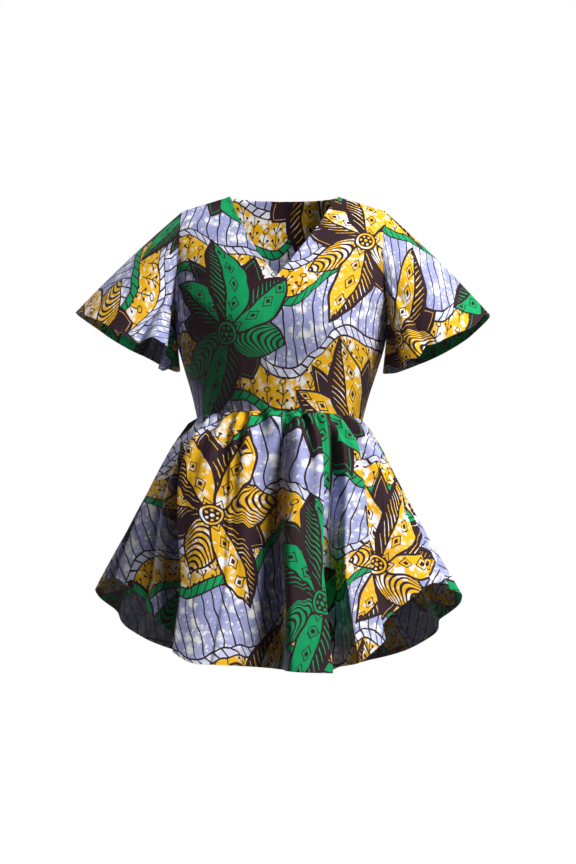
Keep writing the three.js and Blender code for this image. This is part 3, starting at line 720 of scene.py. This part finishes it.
def back_half(place, share):
    """Points of the back's half at +X, from the side seam to the centre back."""
    plain, row = bodice_rows(BACK_ROWS, place, share, 0.0)
    top = BACK_ROWS[-1]
    f = np.clip(share / SHOULDER_SHARE, 0, 1)
    angle = np.clip((share - SHOULDER_SHARE) / (1 - SHOULDER_SHARE), 0, 1) * 0.5 * math.pi
    on_seam = share <= SHOULDER_SHARE
    seam_end = np.stack(np.broadcast_arrays(
        np.where(on_seam, lerp(top["edge_x"], NECK_HALF, f), NECK_HALF * np.cos(angle)),
        np.where(on_seam, top["edge_y"], lerp(top["edge_y"], BACK_NECK_DEPTH, np.sin(angle))),
        np.where(on_seam, lerp(top["edge_z"], 0.0, f), BACK_NECK_RISE * np.sin(angle)),
    ), -1)
    return lerp(plain, seam_end, np.clip(row["yoke"], 0, 1)[..., None])


place = np.linspace(0, TOP_ROW, BACK_GRID["rows"] + 1)
place = np.unique(np.concatenate([place, [UNDERARM_ROW]]))[:, None]
share = np.linspace(0, 1, BACK_GRID["columns"] + 1)
share = np.unique(np.concatenate([share, [SHOULDER_SHARE]]))[None, :]
half = back_half(place, share)
u = along_rows(half, 0.0)
v = up_columns(half)
below_neck = np.where(share > SHOULDER_SHARE, v[-1:] - v, 99.0)
patches = []
for sign in (1, -1):
    points = half * (sign, 1, 1)
    pucker = waist_pucker(points, v, BACK_PUCKER_RUN)
    points[..., 1] += creases(points, BACK_CREASES) * smoothstep(v, 0, 10) + pucker
    uv = np.stack([BACK_PRINT[0] - u * sign, v + BACK_PRINT[1]], -1)
    order = slice(None, None, -1) if sign > 0 else slice(None)
    patches.append((points[::-1, order], uv[::-1, order]))
walls = [edge_wall(below_neck)[::-1, ::-1], edge_wall(below_neck)[::-1]]
bodice_back = cloth_piece("bodice_back_cloth", patches, walls)
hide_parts("bodice_back")

# ==== Sleeves ====
# Each a bell of cotton set into the armhole and cut wide at the hem, so that it flutes under the arm.
SLEEVE = {"tip_x": 397, "tip_z": -230, "low_z": -339, "half_depth": 92, "puff": 5, "flare": 1.35}
SEAM_GAP = 0.45
CREST_FULLNESS = 0.65
# Flutes of the hem: where round it from the underarm, the half of the flat top and the two flanks in
# degrees, then how far each stands out and how far it hangs lower in mm.
RIGHT_FLUTES = [
    dict(at=8, flat=10, before=26, after=10, depth=4, sink=-2),
    dict(at=31, flat=4, before=8, after=9, depth=-22, sink=22),
    dict(at=50, flat=6, before=9, after=14, depth=30, sink=-26),
    dict(at=98, flat=4, before=26, after=30, depth=9, sink=0),
    dict(at=146, flat=0, before=24, after=24, depth=-5, sink=0),
    dict(at=212, flat=0, before=24, after=24, depth=-5, sink=0),
    dict(at=258, flat=4, before=28, after=22, depth=9, sink=2),
    dict(at=304, flat=4, before=9, after=42, depth=9, sink=0),
]
LEFT_FLUTES = [
    dict(at=14, flat=8, before=24, after=8, depth=4, sink=2),
    dict(at=40, flat=6, before=8, after=8, depth=-26, sink=26),
    dict(at=68, flat=7, before=12, after=6, depth=26, sink=24),
    dict(at=110, flat=14, before=34, after=40, depth=6, sink=25),
    dict(at=150, flat=0, before=24, after=24, depth=-5, sink=0),
    dict(at=212, flat=0, before=24, after=24, depth=-5, sink=0),
    dict(at=256, flat=4, before=28, after=22, depth=8, sink=0),
    dict(at=304, flat=4, before=18, after=20, depth=8, sink=-3),
]
RIGHT_SLEEVE = {
    "side": -1, "low_x": 196, "droop": 4, "flutes": RIGHT_FLUTES, "print": (892.0, -60.0), "grain": 0.55,
}
LEFT_SLEEVE = {
    "side": 1, "low_x": 199, "droop": 10, "flutes": LEFT_FLUTES, "print": (132.0, -340.0), "grain": -1.15,
}
SLEEVE_GRID = {"rows": 90, "around": 340}


def crest(away, flat, before, after):
    """A round-topped crest: 1 across its flat top, then down to 0 over one flank before and one after."""
    flank = np.maximum(np.abs(away) - flat, 0.0) / np.where(away < 0, before, after)
    return (0.5 + 0.5 * np.cos(math.pi * np.minimum(flank, 1.0))) ** CREST_FULLNESS


def sleeve_points(sleeve, down, turn):
    """Points of a sleeve; down runs 0 at the armhole to 1 at the hem, turn 0 to 1 round it from the
    underarm up the front and down the back."""
    side = sleeve["side"]
    loop_place = UNDERARM_ROW + (TOP_ROW - UNDERARM_ROW) * (1 - np.abs(2 * turn - 1))
    edge = np.zeros_like(loop_place)
    front_edge = front_half(loop_place, edge)
    back_edge = back_half(loop_place, edge)
    cap = np.where((turn <= 0.5)[..., None], front_edge, back_edge) * (side, 1, 1)
    cap = cap + (side * SEAM_GAP, 0, 0)
    low = np.array([side * sleeve["low_x"], 0, SLEEVE["low_z"]])
    tip = np.array([side * SLEEVE["tip_x"], 0, SLEEVE["tip_z"]])
    reach = np.linalg.norm(tip - low) / 2
    along = (tip - low) / (2 * reach)
    beyond = np.array([along[2] * side, 0, -along[0] * side])
    angle = turn[..., None] * 2 * math.pi
    forward = np.array([0.0, -1.0, 0.0])
    outward = forward * np.sin(angle) * reach - along * np.cos(angle) * SLEEVE["half_depth"]
    outward /= np.linalg.norm(outward, axis=-1, keepdims=True)
    degrees = turn * 360
    flute = np.zeros_like(turn)
    sink = np.zeros_like(turn)
    for f in sleeve["flutes"]:
        swell = crest((degrees - f["at"] + 540) % 360 - 180, f["flat"], f["before"], f["after"])
        flute += f["depth"] * swell
        sink += f["sink"] * swell
    flute = flute[..., None]
    hem = (low + tip) / 2 + forward * np.sin(angle) * SLEEVE["half_depth"] - along * np.cos(angle) * reach
    hem = hem + outward * flute - beyond * sleeve["droop"] * np.sin(angle)
    hem[..., 2] -= sink
    down = down[..., None]
    bow = SLEEVE["puff"] * np.sin(math.pi * down) * (0.5 - 0.5 * np.cos(angle))
    return lerp(cap, hem, down) + outward * (flute * (down ** SLEEVE["flare"] - down) + bow)


down, turn = np.meshgrid(np.linspace(0, 1, SLEEVE_GRID["rows"] + 1),
                         np.linspace(0, 1, SLEEVE_GRID["around"] + 1), indexing="ij")
for name, sleeve in (("sleeve_right", RIGHT_SLEEVE), ("sleeve_left", LEFT_SLEEVE)):
    points = sleeve_points(sleeve, down, turn)
    points[:, -1] = points[:, 0]
    girth = along_rows(points, 0.0)
    girth = girth - girth[:, SLEEVE_GRID["around"] // 2][:, None]
    drop = up_columns(points)
    cos, sin = math.cos(sleeve["grain"]), math.sin(sleeve["grain"])
    uv = np.stack([girth * cos + drop * sin, girth * sin - drop * cos], -1) + sleeve["print"]
    order = slice(None, None, -1) if sleeve["side"] < 0 else slice(None)
    walls = edge_wall(drop[-1:] - drop)
    piece = cloth_piece(f"{name}_cloth", [(points[:, order], uv[:, order])], [walls[:, order]])
    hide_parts(name)

# ==== Peplum ====
# Two flared panels gathered onto the waist seam and joined at the sides, short at the side seams and
# long in front and behind, so that they hang in deep uneven folds.
PEPLUM = {
    "half_width": 157, "width_slope": 0.585, "front": 118, "front_slope": 0.2,
    "back": 102, "back_slope": 0.27, "pinch": 0.42, "form_drop": 330,
    "puff": 14, "puff_drop": 60, "puff_end": 340, "sway": 6,
    "seam_turn": math.radians(9), "seam_dip": 9, "seam_reach": 0.16, "seam_calm": 0.12,
    "hem_at_seam": 307, "longest": 475,
}
WAIST_GAP = 0.3
TANGENT_STEP = 0.01
GATHERS = {
    "waves": 14, "depth": 9, "rise": 12, "fade": 90, "seam_calm": 0.04,
    "drift": 1.3, "drift_waves": 3, "unevenness": 0.5, "uneven_waves": 5,
}
# Share of its width at the hem that a fold has at the waist, and of its depth, how far under the
# waist it starts, and how early it comes to its full depth and to its place at the hem.
WAIST_WIDTH = 0.5
WAIST_DEPTH = 0.2
FOLD_START = 60
DEPTH_POWER = 0.8
PLACE_POWER = 0.6
# Folds of a panel: the place of each along the waist and along the hem in hundredths, the half of its
# flat top and its two flanks, then how far it stands out and how far it leans along, in mm at the hem.
FRONT_FOLDS = [
    dict(top=8, hem=9, flat=8, before=24, after=50, depth=22, lean=-8),
    dict(top=15, hem=19, flat=5, before=22, after=28, depth=15, lean=-4),
    dict(top=19, hem=30, flat=14, before=18, after=92, depth=50, lean=-12),
    dict(top=38, hem=38.5, flat=8, before=18, after=40, depth=12, lean=-5),
    dict(top=52.5, hem=52, flat=10, before=72, after=18, depth=-42, lean=8),
    dict(top=62.5, hem=61.5, flat=40, before=42, after=12, depth=68, lean=12),
    dict(top=71, hem=69.5, flat=8, before=14, after=12, depth=-18, lean=6),
    dict(top=77, hem=74.4, flat=22, before=16, after=13, depth=70, lean=6),
    dict(top=91, hem=90, flat=12, before=58, after=24, depth=26, lean=8),
]
BACK_FOLDS = [
    dict(top=8, hem=9, flat=8, before=24, after=50, depth=22, lean=-8),
    dict(top=23, hem=22, flat=16, before=40, after=56, depth=36, lean=-6),
    dict(top=37, hem=37, flat=22, before=44, after=22, depth=50, lean=6),
    dict(top=49, hem=50, flat=8, before=22, after=34, depth=28, lean=0),
    dict(top=62, hem=64, flat=26, before=26, after=46, depth=54, lean=-6),
    dict(top=77, hem=79, flat=12, before=50, after=42, depth=36, lean=6),
    dict(top=92, hem=91, flat=6, before=40, after=22, depth=20, lean=6),
]
FRONT_PANEL = {
    "facing": -1, "rows": FRONT_ROWS, "folds": FRONT_FOLDS, "flat": (1.05, 0.52), "print": (290.0, 980.0),
    "hem": 475, "hem_start": 0.12, "hem_end": 0.68, "slant": 11, "settle": 26,
}
BACK_PANEL = {
    "facing": 1, "rows": BACK_ROWS, "folds": BACK_FOLDS, "flat": (1.20, 0.50), "print": (860.0, 1330.0),
    "hem": 462, "hem_start": 0.0, "hem_end": 0.69, "slant": 0, "settle": 20,
}
SECTOR_SHARE = 0.72  # of its rectangle that the ring sector of a flat panel fills
GRAIN_ROW = 0.75  # the share of the way down at which the print lies true along the cloth
PEPLUM_GRID = {"rows": 110, "columns": 360, "crowding": 1.2}


def plain_ring(is_front, drop):
    """Sizes of the peplum's plain ring, drop mm under the waist, without its folds."""
    puff = PEPLUM["puff"] * (1 - np.exp(-drop / PEPLUM["puff_drop"]))
    puff = puff * np.maximum(0, 1 - drop / PEPLUM["puff_end"])
    grown = smoothstep(drop, 0, PEPLUM["form_drop"])
    middle = FRONT_ROWS[0]["edge_y"] * (1 - grown)
    half = PEPLUM["half_width"] + PEPLUM["width_slope"] * drop + puff
    front_depth = PEPLUM["front"] + PEPLUM["front_slope"] * drop + puff + middle
    back_depth = PEPLUM["back"] + PEPLUM["back_slope"] * drop + puff - middle
    depth = np.where(is_front, front_depth, back_depth)
    pinch = PEPLUM["pinch"] * grown
    side_depth = depth * (1 - pinch)
    evenness = 0.5 * (half - side_depth) / (half + side_depth)
    return half, depth, pinch, middle, evenness, 0.5 * math.pi * (half + side_depth)


def ring_point(step, drop):
    """Point of the plain ring for an even step round it, and its angle there."""
    half, depth, pinch, middle, evenness, _ = plain_ring(np.sin(step) >= 0, drop)
    angle = step + evenness * np.sin(2 * step)
    sway = PEPLUM["sway"] * np.sin(math.pi * np.minimum(1, drop / PEPLUM["puff_end"]))
    py = middle - depth * np.sin(angle) * (1 - pinch * np.cos(angle) ** 2)
    return np.stack([half * np.cos(angle) - sway, py], -1), angle


def peplum_points(panel, share, down):
    """Points of a panel; share runs 0 to 1 along it and down 0 at the waist to 1 at the hem."""
    from_seam = 1 - np.abs(2 * share - 1)
    rounded = smoothstep(from_seam, panel["hem_start"], panel["hem_end"])
    slanted = smoothstep(share, 0.1, 0.3) * smoothstep(0.62 - share, 0, 0.3)
    hem = lerp(PEPLUM["hem_at_seam"], panel["hem"], rounded) - panel["slant"] * slanted
    drop = hem * down
    turn = PEPLUM["seam_turn"] * np.minimum(1, drop / PEPLUM["hem_at_seam"])
    if panel["facing"] < 0:
        step = lerp(math.pi - turn, turn, share)
    else:
        step = lerp(turn, -math.pi - turn, share)
    base, angle = ring_point(step, drop)
    along = ring_point(step - TANGENT_STEP, drop)[0] - ring_point(step + TANGENT_STEP, drop)[0]
    along /= np.linalg.norm(along, axis=-1, keepdims=True)
    out = np.stack([along[..., 1], -along[..., 0]], -1)
    grown = np.minimum(1, drop / PEPLUM["longest"])
    length = plain_ring(panel["facing"] < 0, drop)[-1]
    in_panel = smoothstep(from_seam, 0, PEPLUM["seam_calm"])
    at_seam = crest(from_seam, 0, PEPLUM["seam_reach"], PEPLUM["seam_reach"])
    stand = -PEPLUM["seam_dip"] * np.minimum(1, drop / PEPLUM["hem_at_seam"]) * at_seam
    stand = stand - panel["settle"] * grown * in_panel
    slide = np.zeros_like(stand)
    rooted = smoothstep(drop, 0, FOLD_START) * in_panel
    width = lerp(WAIST_WIDTH, 1, grown)
    risen = lerp(WAIST_DEPTH, 1, grown ** DEPTH_POWER)
    for fold in panel["folds"]:
        place = lerp(fold["top"], fold["hem"], grown ** PLACE_POWER) / 100
        away = (share - place) * length / width
        height = crest(away, fold["flat"], fold["before"], fold["after"]) * risen
        stand += fold["depth"] * height * rooted
        slide += fold["lean"] * height * rooted
    turn = 2 * math.pi * share
    wave = np.cos(GATHERS["waves"] * turn + GATHERS["drift"] * np.sin(GATHERS["drift_waves"] * turn))
    wave *= 1 + GATHERS["unevenness"] * np.sin(GATHERS["uneven_waves"] * turn + 1)
    swell = np.minimum(1, drop / GATHERS["rise"]) * np.exp(-drop / GATHERS["fade"])
    stand += GATHERS["depth"] * wave * swell * smoothstep(from_seam, 0, GATHERS["seam_calm"])
    flat_point = base + out * stand[..., None] + along * slide[..., None]
    waist = panel["rows"][0]
    waist_z = lerp(waist["edge_z"], waist["inner_z"], 1 - np.abs(np.abs(angle) / (0.5 * math.pi) - 1))
    return np.concatenate([flat_point, (waist_z - drop - WAIST_GAP)[..., None]], -1)


down, share = np.meshgrid(np.linspace(0, 1, PEPLUM_GRID["rows"] + 1) ** PEPLUM_GRID["crowding"],
                          np.linspace(0, 1, PEPLUM_GRID["columns"] + 1), indexing="ij")
for name, panel in (("peplum_front", FRONT_PANEL), ("peplum_back", BACK_PANEL)):
    points = peplum_points(panel, share, down)
    fall = up_columns(points)
    # The print lies as on the flat panel, a sector of a ring whose inner edge is gathered.
    ring_steps = np.linalg.norm(np.diff(points, axis=1), axis=2)
    lengths = ring_steps.sum(axis=1)
    lower = ring_steps[int(GRAIN_ROW * PEPLUM_GRID["rows"])]
    fraction = np.concatenate([[0], np.cumsum(lower)]) / lower.sum() - 0.5
    spread = (lengths[-1] - lengths[0]) / fall[-1].mean()
    radius = lengths[0] / spread
    bearing = fraction[None, :] * spread
    uv = (radius + fall)[..., None] * np.stack([np.sin(bearing), -np.cos(bearing)], -1) + panel["print"]
    piece = cloth_piece(f"{name}_cloth", [(points, uv)], [edge_wall(fall[-1:] - fall)])
    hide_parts(name)
    width, height = panel["flat"]
    width * height * SECTOR_SHARE
